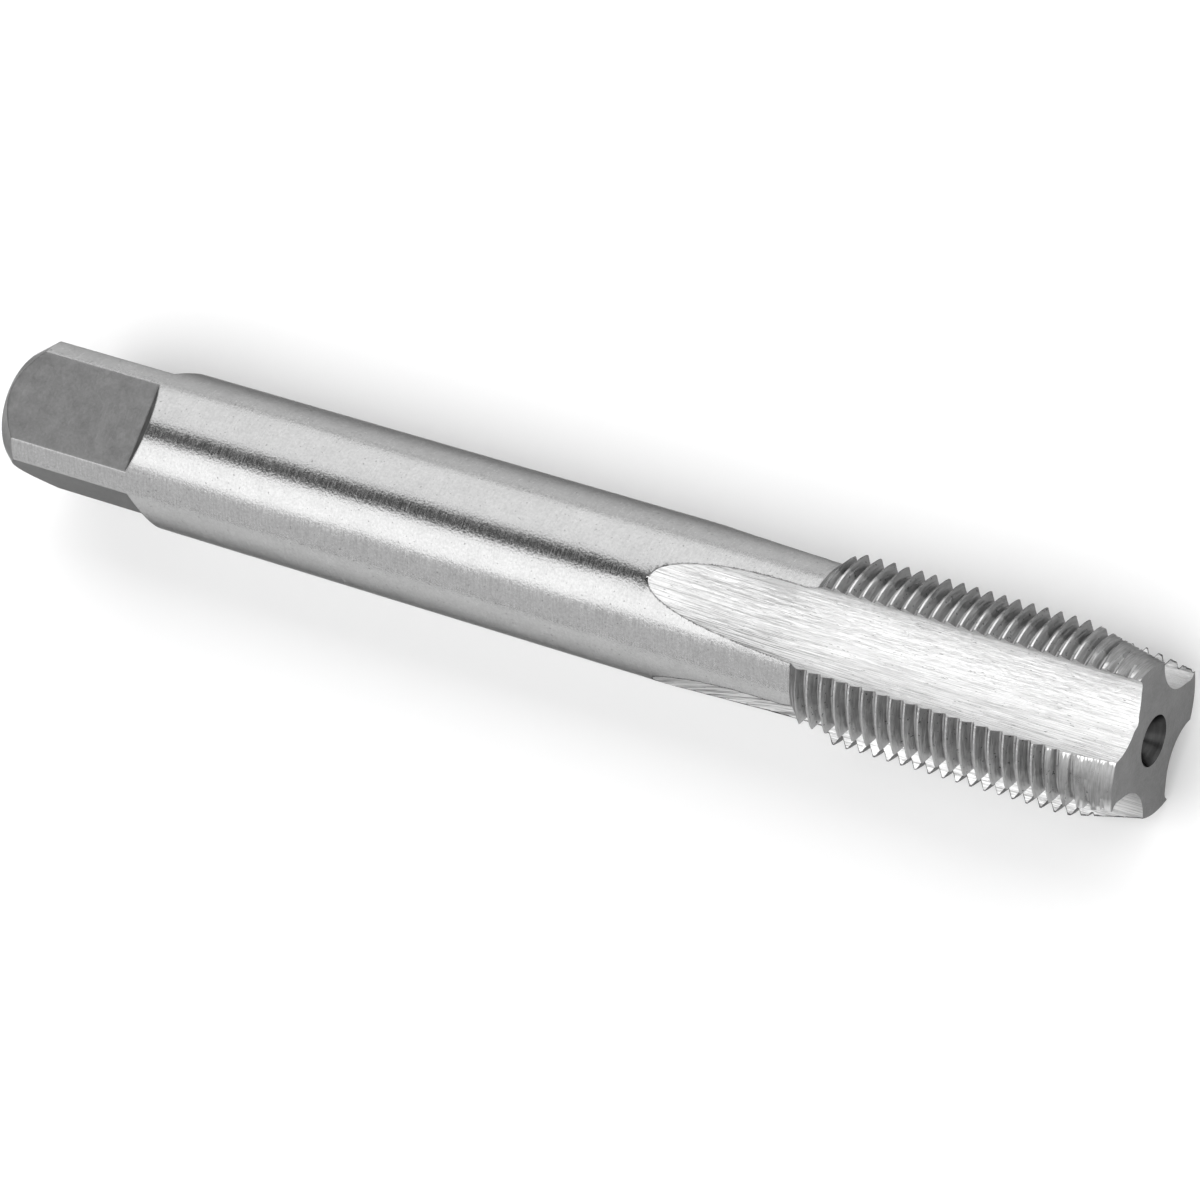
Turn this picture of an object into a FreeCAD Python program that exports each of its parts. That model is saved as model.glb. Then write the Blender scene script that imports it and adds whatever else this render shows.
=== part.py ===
import FreeCAD, Part
import math
import os

from FreeCAD import Vector

# Straight-flute thread tap, one piece of hardened and ground steel. Millimetres.
# It is modelled along +Z, with the square end at Z = 0 and the cutting tip at the
# top, and laid down on one flute at the very end.

# Blank
overall_length = 87.0
shank_diameter = 11.0
end_bevel_length = 1.8
end_bevel_height = 1.25
end_bevel_crown = 0.02

# Thread: 60 degree form, crests flattened to an eighth of the pitch, roots left sharp
thread_diameter = 13.0
thread_pitch = 1.0
thread_angle = 60.0
thread_length = 22.0
thread_back_bevel = 1.0
first_groove_from_tip = 0.03

# Flutes, each one ground by a wheel with a half-round rim
flute_count = 4
flute_core_diameter = 6.96
flute_wheel_rim_radius = 2.9
flute_wheel_radius = 33.0

# Lead chamfer: radii of the tip at the cutting edge and at the heel of each land,
# and how fast both grow away from the tip (millimetres of radius per millimetre)
tip_cutting_radius = 5.93
tip_heel_radius = 5.22
cutting_edge_rise = 0.165
heel_rise = 0.245

# Driving square
square_sides = 4
square_across_flats = 8.9
square_length = 11.6
square_shoulder_angle = 45.0
square_turn = -3.5

# Centre holes, one in each end
centre_mouth_diameter = 3.4
centre_pilot_diameter = 1.6
centre_pilot_depth = 3.6
centre_cone_angle = 60.0
centre_drill_point_angle = 118.0

# How far a cutting tool overshoots the metal, and how far the thread tool does
overshoot = 1.0
groove_overcut = 0.05

AXIS = Vector(0, 0, 1)
shank_radius = shank_diameter / 2
thread_radius = thread_diameter / 2
core_radius = flute_core_diameter / 2
rim_centre_radius = core_radius + flute_wheel_rim_radius
flute_step = 360.0 / flute_count
threaded_stretch = thread_length + thread_back_bevel


def flute_half_angle(radius):
    """Half the angle in degrees that a flute takes out of a circle of this radius."""
    rim_reach = radius ** 2 + rim_centre_radius ** 2 - flute_wheel_rim_radius ** 2
    return math.degrees(math.acos(rim_reach / (2 * rim_centre_radius * radius)))


def flat_face(corners):
    """Plane face inside a closed polygon."""
    return Part.Face(Part.makePolygon(corners + corners[:1]))


def turned(outline):
    """Solid of revolution about the tap's axis from (radius, height) points."""
    return flat_face([Vector(radius, 0, height) for radius, height in outline]).revolve(Vector(), AXIS, 360)


def end_bevel():
    """Slightly crowned bevel at the square end, from the end face out to the shank."""
    inner = Vector(shank_radius - end_bevel_height, 0, 0)
    outer = Vector(shank_radius, 0, end_bevel_length)
    outward = Vector(end_bevel_length, 0, -end_bevel_height).normalize()
    middle = (inner + outer) * 0.5 + outward * end_bevel_crown
    return Part.Arc(inner, middle, outer).toShape()


def blank():
    """Turned bar: bevelled end, ground shank, and the thicker stretch that takes the thread."""
    bevel = end_bevel()
    bevel_start = overall_length - threaded_stretch
    sides = Part.makePolygon([
        bevel.Vertexes[1].Point,
        Vector(shank_radius, 0, bevel_start),
        Vector(thread_radius, 0, bevel_start + thread_back_bevel),
        Vector(thread_radius, 0, overall_length),
        Vector(0, 0, overall_length),
        Vector(0, 0, 0),
        bevel.Vertexes[0].Point,
    ])
    return Part.Face(Part.Wire([bevel] + sides.Edges)).revolve(Vector(), AXIS, 360)


def groove_cut():
    """Groove between two threads, across one land.

    The helix is followed by turning the groove about an axis that is tilted by the lead angle.
    Over the width of a land the two differ by two thousandths of a millimetre.
    """
    crest_flat = thread_pitch / 8
    half_groove = (thread_pitch - crest_flat) / 2
    flank_slope = math.tan(math.radians(thread_angle / 2))
    root_radius = thread_radius - half_groove / flank_slope
    mouth_radius = thread_radius + groove_overcut
    half_mouth = (mouth_radius - root_radius) * flank_slope
    profile = flat_face([
        Vector(root_radius, 0, 0),
        Vector(mouth_radius, 0, half_mouth),
        Vector(mouth_radius, 0, -half_mouth),
    ])
    profile.rotate(Vector(), AXIS, -flute_step / 2)
    groove = profile.revolve(Vector(), AXIS, flute_step)
    lead_angle = math.degrees(math.asin(thread_pitch / (math.pi * (thread_radius + root_radius))))
    groove.rotate(Vector(), Vector(1, 0, 0), lead_angle)
    return groove


def thread_grooves():
    """Every groove between the threads, land by land, each a pitch below the last."""
    one_cut = groove_cut()
    turns = math.ceil(threaded_stretch / thread_pitch) + 1
    grooves = []
    for land in range(flute_count):
        angle = (land + 0.5) * flute_step
        top = overall_length - first_groove_from_tip + thread_pitch * angle / 360
        for turn in range(turns):
            groove = one_cut.copy()
            groove.rotate(Vector(), AXIS, angle)
            groove.translate(Vector(0, 0, top - turn * thread_pitch))
            grooves.append(groove)
    return grooves


def chamfer_ring(distance, half_land):
    """Circle through a land's cutting edge and heel, this far back from the tip."""
    edge = tip_cutting_radius + cutting_edge_rise * distance
    heel = tip_heel_radius + heel_rise * distance
    offset = (edge - heel) / (2 * math.sin(half_land))
    radius = math.hypot((edge + heel) / 2, offset * math.cos(half_land))
    centre = Vector(0, offset, overall_length - distance)
    return Part.Wire(Part.makeCircle(radius, centre, AXIS))


def chamfer_waste():
    """Metal ground off one land at the tip, so that it falls away behind its cutting edge."""
    half_land = math.radians(flute_step / 2 - flute_half_angle(thread_radius))
    slowest_rise = min(cutting_edge_rise, heel_rise)
    length = (thread_radius - tip_heel_radius) / slowest_rise
    rings = [chamfer_ring(distance, half_land) for distance in (-overshoot, length)]
    kept = Part.makeLoft(rings, True, True)
    sector = Part.makeCylinder(
        thread_diameter, length, Vector(0, 0, overall_length + overshoot - length), AXIS, flute_step)
    sector.rotate(Vector(), AXIS, -flute_step / 2)
    return sector.cut(kept)


def flute():
    """Sweep of the wheel's half-round rim: along the lands, then up and out of the shank."""
    run_out_height = overall_length - threaded_stretch
    rim = flute_wheel_rim_radius
    outside = thread_radius + overshoot
    corners = [
        Vector(rim_centre_radius, rim, run_out_height),
        Vector(outside, rim, run_out_height),
        Vector(outside, -rim, run_out_height),
        Vector(rim_centre_radius, -rim, run_out_height),
    ]
    bottom = Vector(core_radius, 0, run_out_height)
    sides = Part.makePolygon(corners).Edges
    rim_arc = Part.Arc(corners[-1], bottom, corners[0]).toShape()
    profile = Part.Face(Part.Wire(sides + [rim_arc]))
    straight = profile.extrude(Vector(0, 0, threaded_stretch + overshoot))
    wheel_centre = Vector(core_radius + flute_wheel_radius, 0, run_out_height)
    lift = (shank_radius + overshoot - core_radius) / flute_wheel_radius
    run_out_angle = math.degrees(math.acos(1 - lift))
    run_out = profile.revolve(wheel_centre, Vector(0, -1, 0), run_out_angle)
    return straight.fuse(run_out)


def square_waste():
    """Metal milled off one side of the shank's end, up to a sloping shoulder."""
    flat = square_across_flats / 2
    outside = shank_radius + overshoot
    shoulder = (outside - flat) / math.tan(math.radians(square_shoulder_angle))
    outline = [
        Vector(flat, -shank_radius, -overshoot),
        Vector(flat, -shank_radius, square_length),
        Vector(outside, -shank_radius, square_length + shoulder),
        Vector(outside, -shank_radius, -overshoot),
    ]
    waste = flat_face(outline).extrude(Vector(0, shank_diameter, 0))
    waste.rotate(Vector(), AXIS, square_turn)
    return waste


def centre_hole():
    """Hole of a centre drill, mouth at the origin and going down: cone, pilot, drill point."""
    mouth = centre_mouth_diameter / 2
    pilot = centre_pilot_diameter / 2
    cone_depth = (mouth - pilot) / math.tan(math.radians(centre_cone_angle / 2))
    point_depth = pilot / math.tan(math.radians(centre_drill_point_angle / 2))
    return turned([
        (0, overshoot),
        (mouth, overshoot),
        (mouth, 0),
        (pilot, -cone_depth),
        (pilot, -centre_pilot_depth),
        (0, -centre_pilot_depth - point_depth),
    ])


def around(shape, count, first_angle):
    """Copies of a shape spread evenly round the axis, the first at this angle."""
    copies = [shape.copy() for _ in range(count)]
    for index, copy in enumerate(copies):
        copy.rotate(Vector(), AXIS, first_angle + index * 360.0 / count)
    return copies


def centre_holes():
    """The two centre holes, one in each end."""
    tip_hole = centre_hole()
    end_hole = tip_hole.copy()
    end_hole.rotate(Vector(), Vector(1, 0, 0), 180)
    tip_hole.translate(Vector(0, 0, overall_length))
    return [tip_hole, end_hole]


def lay_down(tap):
    """Lay the tap along X on one flute, tip towards +X, with its lowest edges at Z = 0."""
    land_edge_level = thread_radius * math.cos(math.radians(flute_half_angle(thread_radius)))
    tap.rotate(Vector(), Vector(1, 1, 1), 120)
    tap.translate(Vector(-overall_length / 2, 0, max(land_edge_level, shank_radius)))
    return tap


def tap_body():
    """The whole tap: fluted, squared and centred first, then chamfered and threaded."""
    wastes = (
        around(flute(), flute_count, 0)
        + around(square_waste(), square_sides, 0)
        + centre_holes()
        + around(chamfer_waste(), flute_count, flute_step / 2)
    )
    return blank().cut(wastes).cut(thread_grooves())


os.makedirs("parts", exist_ok=True)
tap = lay_down(tap_body())
tap.exportStep("parts/tap_body.step")
print("tap_body", tap.isValid(), len(tap.Solids), round(tap.Volume, 1), tap.BoundBox)
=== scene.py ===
import math

import bmesh
import bpy
import numpy as np
from mathutils import Matrix, Vector


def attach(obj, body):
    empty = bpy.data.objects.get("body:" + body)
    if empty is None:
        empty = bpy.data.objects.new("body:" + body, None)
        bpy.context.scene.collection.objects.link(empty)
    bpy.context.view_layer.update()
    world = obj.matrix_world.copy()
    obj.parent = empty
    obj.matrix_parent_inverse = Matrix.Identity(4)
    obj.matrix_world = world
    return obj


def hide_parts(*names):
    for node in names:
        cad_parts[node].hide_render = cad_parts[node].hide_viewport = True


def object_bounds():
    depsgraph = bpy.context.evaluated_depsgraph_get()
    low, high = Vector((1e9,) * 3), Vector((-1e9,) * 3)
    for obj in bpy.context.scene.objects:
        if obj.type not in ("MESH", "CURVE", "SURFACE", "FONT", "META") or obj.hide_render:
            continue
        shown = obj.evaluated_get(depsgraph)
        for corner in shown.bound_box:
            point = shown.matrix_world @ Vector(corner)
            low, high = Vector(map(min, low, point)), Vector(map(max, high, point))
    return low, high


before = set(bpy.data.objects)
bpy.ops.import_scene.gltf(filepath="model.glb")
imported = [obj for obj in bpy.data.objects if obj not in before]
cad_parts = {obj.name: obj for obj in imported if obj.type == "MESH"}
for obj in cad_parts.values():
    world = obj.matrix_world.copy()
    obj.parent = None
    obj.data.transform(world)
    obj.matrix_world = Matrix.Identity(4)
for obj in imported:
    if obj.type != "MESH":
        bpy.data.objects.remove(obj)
cad_low, cad_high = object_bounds()


# Camera. The view looks down on the tap from beyond its cutting end, rolled so that the
# tap lies across the picture from upper left to lower right. Its place was solved from
# the thread crests, the corners of the tip face and the outline of the shank.
view = bpy.data.cameras.new("view")
view.sensor_width = 36.0
view.lens = 156.042
view.clip_start, view.clip_end = 0.02, 20.0
camera = bpy.data.objects.new("view", view)
to_right = Vector((0.84533828, 0.33183733, -0.41867311))
to_top = Vector((-0.25397894, 0.93909348, 0.23151272))
to_viewer = to_right.cross(to_top)
placed = Matrix((to_right, to_top, to_viewer)).transposed().to_4x4()
placed.translation = Vector((0.16392005, -0.03203432, 0.30565879))
camera.matrix_world = placed
bpy.context.scene.collection.objects.link(camera)
bpy.context.scene.camera = camera
bpy.context.scene.view_settings.view_transform = "Standard"


# Studio. A plain pale bench top, a room with pale walls and a dim ceiling, and three long
# soft boxes beside the tap: a broad one behind it, and in front of it a bright one high up
# and a weak one low down.
bench_reach = 4.0
bench_corners = [(-bench_reach, -bench_reach, 0), (bench_reach, -bench_reach, 0),
                 (bench_reach, bench_reach, 0), (-bench_reach, bench_reach, 0)]
floor_mesh = bpy.data.meshes.new("bench_top")
floor_mesh.from_pydata(bench_corners, [], [(0, 1, 2, 3)])
bench_top = bpy.data.objects.new("bench_top", floor_mesh)
bpy.context.scene.collection.objects.link(bench_top)


class Wire:
    """A socket of a material: arithmetic on wires adds Math nodes, node() adds any other."""

    def __init__(self, tree, socket=None):
        self.tree = tree
        self.socket = socket

    def node(self, kind, settings, inputs, output=0):
        made = self.tree.nodes.new(kind)
        for name, value in settings.items():
            setattr(made, name, value)
        for name, value in inputs.items():
            if isinstance(value, Wire):
                self.tree.links.new(value.socket, made.inputs[name])
            else:
                made.inputs[name].default_value = value
        return Wire(self.tree, made.outputs[output])

    def worked_out(self, operation, *values):
        return self.node("ShaderNodeMath", {"operation": operation}, dict(enumerate(values)))

    def __add__(self, other):
        return self.worked_out("ADD", self, other)

    def __radd__(self, other):
        return self.worked_out("ADD", other, self)

    def __sub__(self, other):
        return self.worked_out("SUBTRACT", self, other)

    def __rsub__(self, other):
        return self.worked_out("SUBTRACT", other, self)

    def __mul__(self, other):
        return self.worked_out("MULTIPLY", self, other)

    def __rmul__(self, other):
        return self.worked_out("MULTIPLY", other, self)

    def into(self, shader, name):
        self.tree.links.new(self.socket, shader.inputs[name])


def new_finish(name):
    """A material with its shader and a wire to start from."""
    material = bpy.data.materials.new(name)
    material.use_nodes = True
    tree = material.node_tree
    return material, tree.nodes["Principled BSDF"], Wire(tree)


def fade(height, low, high, below, above):
    """Brightness of the room that goes softly from one level to another between two heights."""
    return height.node("ShaderNodeMapRange", {"interpolation_type": "SMOOTHSTEP"},
                       {"Value": height, "From Min": low, "From Max": high,
                        "To Min": below, "To Max": above})


bench_paint, bench_shader, _ = new_finish("bench_paint")
bench_shader.inputs["Base Color"].default_value = (0.95, 0.95, 0.95, 1)
bench_shader.inputs["Roughness"].default_value = 0.9
bench_shader.inputs["Specular IOR Level"].default_value = 0.1
floor_mesh.materials.append(bench_paint)

room = bpy.data.worlds.new("room")
room.use_nodes = True
bpy.context.scene.world = room
start = Wire(room.node_tree)
direction = start.node("ShaderNodeTexCoord", {}, {}, "Generated")
height = start.node("ShaderNodeSeparateXYZ", {}, {"Vector": direction}, "Z")
walls = fade(height, low=0.0, high=0.2, below=0.55, above=0.24)
ceiling = fade(height, low=0.70, high=0.93, below=1.0, above=0.2)
background = room.node_tree.nodes["Background"]
background.inputs["Color"].default_value = (1, 1, 1, 1)
(walls * ceiling).into(background, "Strength")


def soft_box(name, angle, half_angle, brightness):
    """A long soft box beside the tap, this many degrees up from the horizon behind it.

    The half angle is from its middle line to its long sides, as the tap sees them.
    """
    distance, length = 1.6, 4.0
    width = 2 * distance * math.tan(math.radians(half_angle))
    lamp = bpy.data.lights.new(name, "AREA")
    lamp.shape = "RECTANGLE"
    lamp.size, lamp.size_y = length, width
    lamp.energy = brightness * math.pi * length * width
    box = bpy.data.objects.new(name, lamp)
    outward = Vector((0, math.cos(math.radians(angle)), math.sin(math.radians(angle))))
    across = outward.cross(Vector((1, 0, 0)))
    turned = Matrix((Vector((1, 0, 0)), -across, outward)).transposed().to_4x4()
    turned.translation = outward * distance
    box.matrix_world = turned
    bpy.context.scene.collection.objects.link(box)


soft_box("soft_box_behind", angle=37, half_angle=32, brightness=1.42)
soft_box("soft_box_in_front", angle=114, half_angle=21, brightness=2.05)
soft_box("low_soft_box_in_front", angle=155, half_angle=21, brightness=0.72)


# The tap. One piece of high-speed steel: turned and centred at both ends, threaded, milled
# with four flutes and a driving square, hardened, then ground. Its surface is one closed
# skin of rings, from the bottom of the tip's centre hole to that of the other end.

# Sizes are in millimetres. Places along the tap are counted from the tip face, negative
# towards the square, and angles in degrees from the back of the tap over its top.
tap_length = 1000 * (cad_high.x - cad_low.x)
tip_place = 1000 * cad_high.x
axis_height = 500 * (cad_low.z + cad_high.z)
pitch = 1.0
thread_radius = 6.5
crest_flat = 0.125
root_depth = 0.64
flank_slope = math.tan(math.radians(30))
crest_along, crest_turn = -21.457, 25.5
thread_foot = -23.0
tip_heel_radius, heel_rise = 5.215, 0.245
tip_edge_radius, edge_rise = 5.93, 0.165
shank_radius = 5.5
core_radius = 3.48
rim_radius = 2.9
wheel_radius = 33.0
flute_strips, land_strips = 26, 12
quarter_strips = flute_strips + land_strips
tolerance = 0.01


def threaded(along, angle):
    """Radius of the 60 degree thread at a place along the tap and an angle round it."""
    turns = (along - crest_along) / pitch - (angle - crest_turn) / 360
    from_crest = np.abs((turns + 0.5) % 1 - 0.5) * pitch
    depth = np.maximum(from_crest - crest_flat / 2, 0) / flank_slope
    return thread_radius - np.minimum(depth, root_depth)


def chamfered(along, share):
    """Radius left by the lead chamfer, from the heel (share 0) to the cutting edge (share 1)."""
    heel = tip_heel_radius - heel_rise * along
    edge = tip_edge_radius - edge_rise * along
    return heel + (edge - heel) * share


def land_radius(along, angle, share):
    """Radius of a land: thread and chamfer, the bevel at the thread's foot, then the shank."""
    radius = np.minimum(threaded(along, angle), chamfered(along, share))
    bevel = shank_radius + np.clip(along - thread_foot, 0, thread_radius - shank_radius)
    return np.where(along > thread_foot, np.minimum(radius, bevel), shank_radius)


def flute_wall(spread, along):
    """How far out and how far aside a flute's wall is, at a turn of the wheel's round rim."""
    past_foot = np.maximum(thread_foot - along, 0)
    reach = wheel_radius - rim_radius + rim_radius * np.cos(spread)
    outward = core_radius + wheel_radius - np.sqrt(reach ** 2 - past_foot ** 2)
    return outward, rim_radius * np.sin(spread)


def rim_turn(radius, along):
    """Turn of the wheel's rim, in radians, at which a flute's wall reaches this radius."""
    widest_turn, halvings = 1.65, 40
    low, high = np.zeros_like(radius), np.full_like(radius, widest_turn)
    for _ in range(halvings):
        middle = (low + high) / 2
        inside = np.hypot(*flute_wall(middle, along)) < radius
        low, high = np.where(inside, middle, low), np.where(inside, high, middle)
    return low


# The flutes were not ground quite true: they swing over and widen towards the tip, swing back
# where they run out, and are undercut at their cutting faces, below the thread. The undercut
# is given in degrees at a radius of one millimetre.
true_place = -12.0
swing_rate, widening_rate = 0.073, 0.038
run_out_swing, run_out_swing_length = 2.2, 5.0
flute_half_angle = 26.0
undercut_turn, undercut_radius, undercut_width = 14.3, 5.4, 0.55
undercut_past_foot = 0.5


def flute_place(spread, along):
    """Radius of a flute's wall, and its angle from the flute's middle."""
    outward, aside = flute_wall(spread, along)
    radius, angle = np.hypot(outward, aside), np.degrees(np.arctan2(aside, outward))
    from_true = np.maximum(along, thread_foot) - true_place
    running_out = np.clip((thread_foot - along) / run_out_swing_length, 0, 1)
    swing = swing_rate * from_true - run_out_swing * running_out
    widening = widening_rate * from_true * angle / flute_half_angle
    undercut = undercut_turn / radius * np.exp(-(((radius - undercut_radius) / undercut_width) ** 2))
    undercut *= (angle < 0) & (along > thread_foot - undercut_past_foot)
    return radius, angle + swing + widening - undercut


def flute_side(stations, middle, side):
    """Edge of a flute on its cutting side (-1) or its heel side (1).

    Gives the rim's turn, the angle and the place along, which follows the thread's helix over
    the land beside the flute.
    """
    land_middle = middle + 45 * side
    cutting_share = (1 - side) / 2
    angle = np.full_like(stations, middle + flute_half_angle * side)
    rounds = 6
    for _ in range(rounds):
        along = stations + pitch * (angle - land_middle) / 360
        spread = rim_turn(land_radius(along, angle, cutting_share), stations)
        angle = middle + flute_place(side * spread, stations)[1]
    return spread, angle, along


def fluted_rings(stations):
    """Rings across the threaded end and the run-outs, one for each place along the tap."""
    middles = [90 + 90 * flute for flute in range(4)]
    cutting_sides = [flute_side(stations, middle, -1) for middle in middles]
    heel_sides = [flute_side(stations, middle, 1) for middle in middles]
    columns = []
    for flute, middle in enumerate(middles):
        left, _, left_along = cutting_sides[flute]
        right, heel, right_along = heel_sides[flute]
        cutting = cutting_sides[(flute + 1) % 4][1] + 360 * (flute == 3)
        for share in np.arange(flute_strips) / flute_strips:
            radius, angle = flute_place(-left + (left + right) * share, stations)
            columns.append((left_along + (right_along - left_along) * share, radius, angle + middle))
        for share in np.arange(land_strips) / land_strips:
            angle = heel + (cutting - heel) * share
            on_helix = stations + pitch * (angle - middle - 45) / 360
            along = np.where(stations < thread_foot, stations, on_helix)
            columns.append((along, land_radius(along, angle, share), angle))
    return np.array(columns).transpose(2, 0, 1)


def ring(along, radius, angles):
    """Ring of one place, or one radius, round the given angles."""
    return np.stack([along + 0 * angles, radius + 0 * angles, angles], 1)


def ring_angles(middle, half_angle):
    """Angles of all the columns, the flute columns spread this far to each side of a middle."""
    over_flute = np.linspace(-half_angle, half_angle, flute_strips, endpoint=False)
    over_land = np.linspace(half_angle, 90 - half_angle, land_strips, endpoint=False)
    quarter = middle + np.concatenate([over_flute, over_land])
    return np.concatenate([quarter + 90 * flute for flute in range(4)])


# Rings stand a sixteenth of a pitch apart, through the crests of all four lands, half as far
# apart on the chamfer, and ever closer towards the ends of the run-outs. The first lies flat
# in the tip face.
rings_to_foot, rings_to_chamfer, rings_on_chamfer = 25, 247, 189
first_crest = crest_along + pitch * (45 - crest_turn) / 360
thread_rings = first_crest + pitch * np.arange(-rings_to_foot, rings_to_chamfer) / 16
chamfer_rings = first_crest + pitch * (rings_to_chamfer / 16 + np.arange(rings_on_chamfer) / 32)
run_out_length, run_out_rings, foot_gap = 11.37, 27, 0.03
run_outs = thread_foot - run_out_length * (1 - np.linspace(1, 0, run_out_rings) ** 2)
run_outs[0] = thread_foot - foot_gap
fluted = fluted_rings(np.concatenate([[0.0], chamfer_rings[::-1], thread_rings[::-1], run_outs]))
fluted[0, :, 0] = 0.0

# The edges of the lands are a little ragged, and the upper flute has a nick at the tip.
cutting_raggedness, heel_raggedness = 0.02, 0.012
nick_angle, nick_depth, nick_reach = 84, 0.3, 0.5
ragged = np.random.default_rng(7)
for column, raggedness in ((0, cutting_raggedness), (flute_strips, heel_raggedness)):
    edges = fluted[1:, column::quarter_strips]
    edges[..., 1] -= raggedness * np.abs(ragged.normal(size=edges.shape[:2]))
from_nick = np.hypot(fluted[..., 0], fluted[..., 1] * np.radians(fluted[..., 2] - nick_angle))
fluted[..., 1] -= nick_depth * np.clip(1 - from_nick / nick_reach, 0, 1)

# Square: the height of its flats, the slope of their shoulders and the start of the bevel at
# the end, column by column.
square_half, square_length, square_turn = 4.45, 11.56, 86.5
end_bevel_length, end_bevel_height = 1.8, 1.25
half_flat = math.degrees(math.acos(square_half / shank_radius))
square_angles = ring_angles(square_turn, half_flat)
from_middle = np.radians((square_angles - square_turn + 45) % 90 - 45)
on_flat = np.abs(np.degrees(from_middle)) < half_flat + tolerance
flat_radius = np.where(on_flat, square_half / np.cos(from_middle), shank_radius)
shoulder = np.where(on_flat, shank_radius * np.cos(from_middle) - square_half, 0)
bevel_start = end_bevel_length * (1 - (shank_radius - flat_radius) / end_bevel_height)

# The rings in their order, each with the name of the band that starts at it. A centre hole
# is given from its point to its mouth. On the shank the columns turn bit by bit from the ends
# of the flutes to the edges of the flats.
hole = ((-4.08, 0.0), (-3.6, 0.8), (-1.559, 0.8), (-1.2, 1.007), (-0.6, 1.354), (0.0, 1.7))
tip_flute_half_angle = 38
tip_angles = ring_angles(90, tip_flute_half_angle)
bands = [("hole", ring(along, radius, tip_angles)) for along, radius in hole[:-1]]
bands.append(("tip_face", ring(*hole[-1], tip_angles)))
bands += [("fluted", fluted_ring) for fluted_ring in fluted[:-1]]
bands.append(("shank", fluted[-1]))
shank_start = thread_foot - run_out_length
for past_run_outs, turned_over in ((0.1, 0.01), (0.4, 0.04), (1, 0.1), (2.5, 0.2), (5, 0.35),
                                   (9, 0.5), (15, 0.7), (22, 0.85), (30, 1), (38.6, 1)):
    angles = fluted[-1, :, 2] + (square_angles - fluted[-1, :, 2]) * turned_over
    bands.append(("shank", ring(shank_start - past_run_outs, shank_radius, angles)))
square_foot = square_length - tap_length
bands.append(("shoulder", ring(square_foot + shoulder, shank_radius, square_angles)))
for share in (0, 0.33, 0.66):
    along = square_foot + (bevel_start - square_length) * share
    bands.append(("square", ring(along, flat_radius, square_angles)))
bands.append(("end_bevel", ring(bevel_start - tap_length, flat_radius, square_angles)))
bands.append(("end_face", ring(-tap_length, shank_radius - end_bevel_height, square_angles)))
bands += [("hole", ring(-tap_length - along, radius, square_angles)) for along, radius in hole[::-1]]

places = np.array([band_ring for _, band_ring in bands])
along, radius, angle = places[..., 0], places[..., 1], np.radians(places[..., 2])
points = np.stack([
    along + tip_place,
    radius * np.cos(angle),
    radius * np.sin(angle) + axis_height,
], 2) / 1000

# Each face gets the slot of its finish. The finishes are made further down, in this order.
finishes = ["ground_shank", "milled_square", "milled_flute", "cut_thread", "thread_crest",
            "ground_chamfer", "faced_tip", "drilled_centre"]
slot_of = {name: slot for slot, name in enumerate(finishes)}
plain_bands = {"hole": "drilled_centre", "tip_face": "faced_tip", "shank": "ground_shank",
               "end_bevel": "ground_shank", "end_face": "faced_tip"}
rows, width = along.shape
of_column = np.arange(width) % quarter_strips
in_flute = of_column < flute_strips
land_share = (of_column - flute_strips) / land_strips
finish_of = np.zeros((rows - 1, width), int)
for row, (band, _) in enumerate(bands[:-1]):
    if band == "fluted":
        here = (places[row] + places[row + 1]) / 2
        middle = (here + np.roll(here, -1, 0)) / 2
        middle[-1] = here[-1]
        thread = threaded(middle[:, 0], middle[:, 2])
        chamfer = chamfered(middle[:, 0], land_share + 0.5 / land_strips)
        on_crest = thread > thread_radius - tolerance
        land = np.where(on_crest, slot_of["thread_crest"], slot_of["cut_thread"])
        land = np.where(chamfer < thread, slot_of["ground_chamfer"], land)
        land = np.where(middle[:, 0] < thread_foot, slot_of["ground_shank"], land)
        finish_of[row] = np.where(in_flute, slot_of["milled_flute"], land)
    elif band in ("shoulder", "square"):
        finish_of[row] = np.where(in_flute, slot_of["milled_square"], slot_of["ground_shank"])
    else:
        finish_of[row] = slot_of[plain_bands[band]]

# Four-sided faces join each ring to the next. Round the mouth of the tip's centre hole one
# flat face for each quarter takes their place.
row, column = np.meshgrid(np.arange(rows - 1), np.arange(width), indexing="ij")
beside = (column + 1) % width
corners = np.stack([row * width + column, (row + 1) * width + column,
                    (row + 1) * width + beside, row * width + beside], 2)
mouth = [band for band, _ in bands].index("tip_face")
faces = np.delete(corners, mouth, 0).reshape(-1, 4).tolist()
finish_of = np.delete(finish_of, mouth, 0).ravel().tolist()
for quarter in range(4):
    first = quarter * quarter_strips - land_strips // 2
    arc = np.arange(first, first + quarter_strips + 1) % width
    faces.append((arc + mouth * width).tolist() + (arc[::-1] + (mouth + 1) * width).tolist())
    finish_of.append(slot_of["faced_tip"])
tap_mesh = bpy.data.meshes.new("thread_tap")
tap_mesh.from_pydata(points.reshape(-1, 3).tolist(), [], faces)
tap_mesh.polygons.foreach_set("material_index", finish_of)


def carry(name, kind, field, values):
    """Let the mesh's points carry a value, or a vector, that the finishes can read."""
    carrier = tap_mesh.attributes.new(name, kind, "POINT")
    carrier.data.foreach_set(field, np.ravel(values).astype(float))


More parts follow.
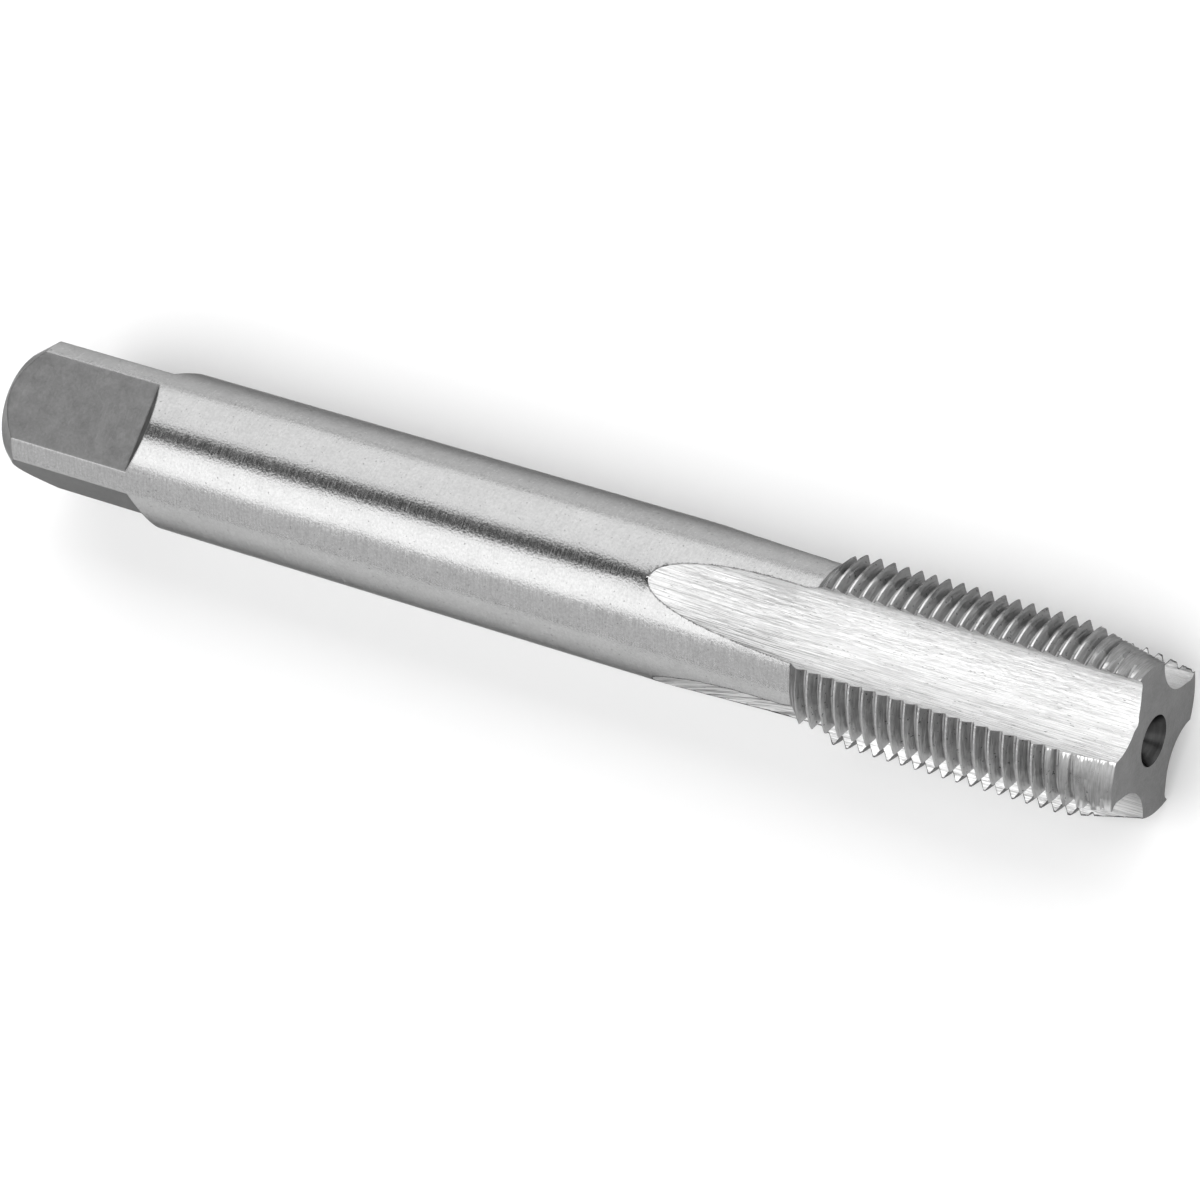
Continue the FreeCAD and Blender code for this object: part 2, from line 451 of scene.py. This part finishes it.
# What the finishes read: the share of a land from heel to cutting edge, the flutes' edges,
# and a place on the flutes' walls that follows the wheel, far apart from flute to flute.
flute_apart = 10
cutting_side = np.where(in_flute, 0, land_share)
cutting_side[of_column == 0] = 1
carry("cutting_side", "FLOAT", "value", np.tile(cutting_side, rows))
on_edge = [np.isin(of_column, (0, flute_strips)) * (band == "fluted") for band, _ in bands]
carry("flute_edge", "FLOAT", "value", on_edge)
flute_middle = np.radians(90 + 90 * (np.arange(width) // quarter_strips))
round_rim = np.arcsin(np.clip(radius * np.sin(angle - flute_middle) / rim_radius, -1, 1))
wheel_marks = np.stack([along, rim_radius * round_rim, flute_apart * flute_middle + 0 * along], 2)
carry("wheel_marks", "FLOAT_VECTOR", "vector", wheel_marks)

# Points less than same_point metres apart become one. Edges of more degrees than the sharpest
# smooth edge stay sharp.
same_point, sharpest_smooth_edge = 2e-7, 24
cleaned = bmesh.new()
cleaned.from_mesh(tap_mesh)
bmesh.ops.remove_doubles(cleaned, verts=cleaned.verts, dist=same_point)
bmesh.ops.recalc_face_normals(cleaned, faces=cleaned.faces)
cleaned.to_mesh(tap_mesh)
cleaned.free()
tap_mesh.shade_smooth()
tap_mesh.set_sharp_from_angle(angle=math.radians(sharpest_smooth_edge))
tap = bpy.data.objects.new("thread_tap", tap_mesh)
bpy.context.scene.collection.objects.link(tap)
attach(tap, "root")
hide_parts("tap_body")


def steel(name, colour, roughness, grazing):
    """Bare high-speed steel of one finish: its shader, and a place on it in millimetres.

    Grazing is how bright the finish stays where it is seen from a low angle. The colour and
    roughness are the finish's own on average, and hold wherever nothing finer goes into them.
    """
    material, shader, start = new_finish(name)
    shader.inputs["Metallic"].default_value = 1.0
    shader.inputs["Roughness"].default_value = roughness
    shader.inputs["Base Color"].default_value = (colour, colour, colour, 1)
    shader.inputs["Specular Tint"].default_value = (grazing, grazing, grazing, 1)
    tap_mesh.materials.append(material)
    metres = start.node("ShaderNodeTexCoord", {}, {}, "Object")
    return shader, start.node("ShaderNodeVectorMath", {"operation": "SCALE"},
                              {"Vector": metres, "Scale": 1000.0})


def carried(place, name, output="Fac"):
    """What the mesh's points carry under this name."""
    return place.node("ShaderNodeAttribute", {"attribute_name": name}, {}, output)


def part_of(place, axis):
    """How far along one axis a place is."""
    return place.node("ShaderNodeSeparateXYZ", {}, {"Vector": place}, axis)


def grain(place, lengthwise, crosswise, detail=2.0, contrast=0.5):
    """Noise of this many grains a millimetre along the tap and across it, from about 0 to 1."""
    stretched = place.node("ShaderNodeVectorMath", {"operation": "MULTIPLY"},
                           {0: place, 1: (lengthwise, crosswise, crosswise)})
    return place.node("ShaderNodeTexNoise", {},
                      {"Vector": stretched, "Scale": 1.0, "Detail": detail, "Roughness": contrast},
                      "Fac")


def between(value, low, high):
    """0 at one level of a value, 1 at another, and a ramp between them."""
    return value.node("ShaderNodeMapRange", {}, {"Value": value, "From Min": low, "From Max": high,
                                                 "To Min": 0.0, "To Max": 1.0})


def grey(value):
    """A neutral colour of this brightness."""
    return value.node("ShaderNodeCombineColor", {}, {0: value, 1: value, 2: value})


def relief(height, depth, edge):
    """Bent normals for a height from 0 to 1 that stands for this depth in millimetres.

    The part's own edges are softened to this radius, also in millimetres.
    """
    softened = height.node("ShaderNodeBevel", {"samples": 4}, {"Radius": edge / 1000})
    return height.node("ShaderNodeBump", {}, {"Height": height, "Strength": 1.0,
                                              "Distance": depth / 1000, "Normal": softened})


# Shank: ground round and round, with an orange peel left under the hairlines, a few dark
# pits, and burrs where the flutes break through it, with painted shade along them.
shader, place = steel("ground_shank", colour=0.40, roughness=0.2, grazing=0.3)
hairs = between(grain(place, 9.0, 0.8, contrast=0.6), 0.35, 0.65)
peel = between(grain(place, 5.5, 5.5, contrast=0.6), 0.3, 0.7)
mottle = grain(place, 0.6, 0.6, detail=3.0, contrast=0.6)
pits = between(grain(place, 5.0, 5.0, detail=1.0), 0.24, 0.30)
# Painted shade along the flutes' edges, which darkens the colour together with the pits.
burrs_and_edge_shade = between(carried(place, "flute_edge") + 0.3 * hairs + 0.3 * peel, 1.08, 1.3)
marks_and_painted_shade = (0.6 + 0.4 * pits) * (1 - 0.7 * burrs_and_edge_shade)
grey((0.31 + 0.08 * mottle + 0.04 * hairs + 0.08 * peel) * marks_and_painted_shade).into(shader, "Base Color")
(0.13 + 0.11 * hairs + 0.05 * peel).into(shader, "Roughness")
relief(peel * 0.6 + hairs * 0.3, depth=0.008, edge=0.2).into(shader, "Normal")

# Flats of the square: milled before hardening and left dull, with a few scratches across.
shader, place = steel("milled_square", colour=0.3, roughness=0.5, grazing=0.3)
mottle = between(grain(place, 0.9, 0.9, detail=4.0, contrast=0.65), 0.3, 0.7)
speckle = between(grain(place, 4.5, 4.5, detail=3.0, contrast=0.6), 0.3, 0.7)
scratches = between(grain(place, 6.0, 0.7), 0.60, 0.68)
grey(0.21 + 0.045 * mottle + 0.045 * speckle + 0.02 * scratches).into(shader, "Base Color")
(0.42 + 0.10 * mottle).into(shader, "Roughness")
relief(mottle + speckle * 0.4, depth=0.02, edge=0.25).into(shader, "Normal")

# Flutes: bright from the wheel, with its lines along them, dark dashes, and painted shade at
# their edges. Painted shade darkens all but the upper flute at the tip and on the run-outs.
# All the run-outs are a little darker, and so is the upper flute high on its back wall.
shader, place = steel("milled_flute", colour=0.7, roughness=0.42, grazing=0.2)
marks = carried(place, "wheel_marks", "Vector")
lines = between(grain(marks, 0.3, 8.5, detail=3.0, contrast=0.75), 0.36, 0.56)
hairlines = grain(marks, 0.4, 16.0, contrast=0.6)
dashes = between(grain(marks, 2.0, 12.0), 0.26, 0.32)
mottle = between(grain(place, 0.3, 1.2, detail=3.0, contrast=0.6), 0.3, 0.7)
lengthwise, aside = part_of(place, "X"), part_of(place, "Y")
below_top = between(part_of(place, "Z"), 9.2, 8.6)
# Darker high on the upper flute's back wall.
darker_high_on_back_wall = 0.2 * between(aside, 1.9, 2.9) * (1 - below_top)
run_out = between(lengthwise, tip_place + thread_foot + 2.5, tip_place + thread_foot - 2.5)
near_tip = between(lengthwise, tip_place - 5.0, tip_place)
# Painted shade at the tip and on the run-outs of all but the upper flute.
painted_end_shade = (0.45 * near_tip + 0.28 * run_out) * below_top
# Painted shade along the flutes' edges, stronger below the upper flute.
edge_shade_mask = between(carried(place, "flute_edge") + 0.7 * grain(place, 2.5, 2.5), 0.95, 1.15)
painted_edge_shade = edge_shade_mask * (0.35 + 0.5 * below_top)
scratches = between(grain(marks, 0.25, 11.0, detail=3.0, contrast=0.7), 0.48, 0.60)
scratched = scratches * (0.12 + 0.22 * run_out + 0.25 * between(aside, -0.4, -2.2))
# Painted shade, darker run-outs and scratches together dim the flutes.
marks_and_painted_shade = (1 - painted_end_shade) * (1 - darker_high_on_back_wall) * (1 - painted_edge_shade) * (1 - 0.10 * run_out) * (1 - scratched)
bright = (0.77 + 0.10 * mottle + 0.13 * lines) * (0.35 + 0.65 * dashes)
grey(bright * marks_and_painted_shade).into(shader, "Base Color")
(0.40 + 0.10 * mottle).into(shader, "Roughness")
relief(lines * 0.3 + hairlines * 0.6, depth=0.06, edge=0.06).into(shader, "Normal")

# Flanks of the thread: cut and left grey, with painted shade on the lands at the back, and
# painted light near the cutting edges.
shader, place = steel("cut_thread", colour=0.34, roughness=0.34, grazing=0.3)
streaks = between(grain(place, 8.0, 0.6, contrast=0.6), 0.3, 0.7)
smudge = between(grain(place, 1.2, 1.2, detail=3.0, contrast=0.65), 0.3, 0.7)
specks = between(grain(place, 4.0, 4.0), 0.29, 0.35)
on_back_land = between(part_of(place, "Y"), 0.0, 1.0)
# Painted light near the cutting edges, which also keeps the back lands' painted shade off them.
painted_light_by_edge = between(carried(place, "cutting_side") + 0.16 * smudge, 0.62, 0.70)
# Dark specks, and painted shade on the back lands away from their cutting edges.
marks_and_painted_shade = (0.4 + 0.6 * specks) * (1 - 0.3 * on_back_land * (1 - painted_light_by_edge))
grey((0.25 + 0.07 * smudge + 0.09 * streaks + 0.05 * painted_light_by_edge) * marks_and_painted_shade).into(shader, "Base Color")
(0.40 + 0.14 * smudge).into(shader, "Roughness")
relief(streaks + smudge, depth=0.02, edge=0.035).into(shader, "Normal")

# Crests of the thread: narrow flats with burrs, with painted shade on the back lands and a
# painted highlight near their cutting edges.
shader, place = steel("thread_crest", colour=0.6, roughness=0.3, grazing=0.5)
burrs_and_edge_shade = between(grain(place, 3.0, 3.0, detail=3.0, contrast=0.7), 0.3, 0.7)
on_back_land = between(part_of(place, "Y"), 0.0, 1.0)
painted_light_by_edge = between(carried(place, "cutting_side"), 0.55, 0.75) * on_back_land
# Painted shade on the back lands' crests, and a painted highlight near their cutting edges.
grey(0.30 - 0.20 * on_back_land + 0.14 * burrs_and_edge_shade + 0.50 * painted_light_by_edge).into(shader, "Base Color")
relief(burrs_and_edge_shade, depth=0.04, edge=0.03).into(shader, "Normal")

# Lead chamfer: ground round the tap, with painted glints along the heels and painted highlights
# in slashes beside the cutting edges.
shader, place = steel("ground_chamfer", colour=0.36, roughness=0.32, grazing=0.3)
streaks = between(grain(place, 12.0, 0.8, contrast=0.6), 0.3, 0.7)
smudge = between(grain(place, 1.2, 1.2, detail=3.0, contrast=0.65), 0.3, 0.7)
edge_side = carried(place, "cutting_side")
# Painted glints along the heels and painted highlights in slashes beside the cutting edges.
glints = between(edge_side + 0.4 * grain(place, 7.0, 0.8, contrast=0.6), 0.25, 0.19)
glint_slashes = between(edge_side, 0.72, 0.92) * between(grain(place, 2.2, 0.5, detail=1.0), 0.54, 0.60)
lit = 0.5 * glints + 0.35 * glint_slashes
grey(0.175 + 0.06 * smudge + 0.10 * streaks + lit).into(shader, "Base Color")
(0.26 + 0.14 * smudge).into(shader, "Roughness")
relief(streaks + smudge * 0.5, depth=0.006, edge=0.06).into(shader, "Normal")

# End faces: faced in the lathe and left grey.
shader, place = steel("faced_tip", colour=0.2, roughness=0.42, grazing=0.5)
fine_grain = between(grain(place, 5.0, 5.0, contrast=0.6), 0.3, 0.7)
smudge = between(grain(place, 0.7, 0.7, detail=3.0, contrast=0.6), 0.3, 0.7)
grey(0.20 + 0.03 * fine_grain + 0.04 * smudge).into(shader, "Base Color")
relief(fine_grain, depth=0.012, edge=0.06).into(shader, "Normal")

# Centre holes: drilled, and painted dark for the shade inside them.
shader, place = steel("drilled_centre", colour=0.06, roughness=0.35, grazing=0.3)
rings = between(grain(place, 5.0, 0.6, contrast=0.6), 0.3, 0.7)
grey(0.03 + 0.025 * rings).into(shader, "Base Color")
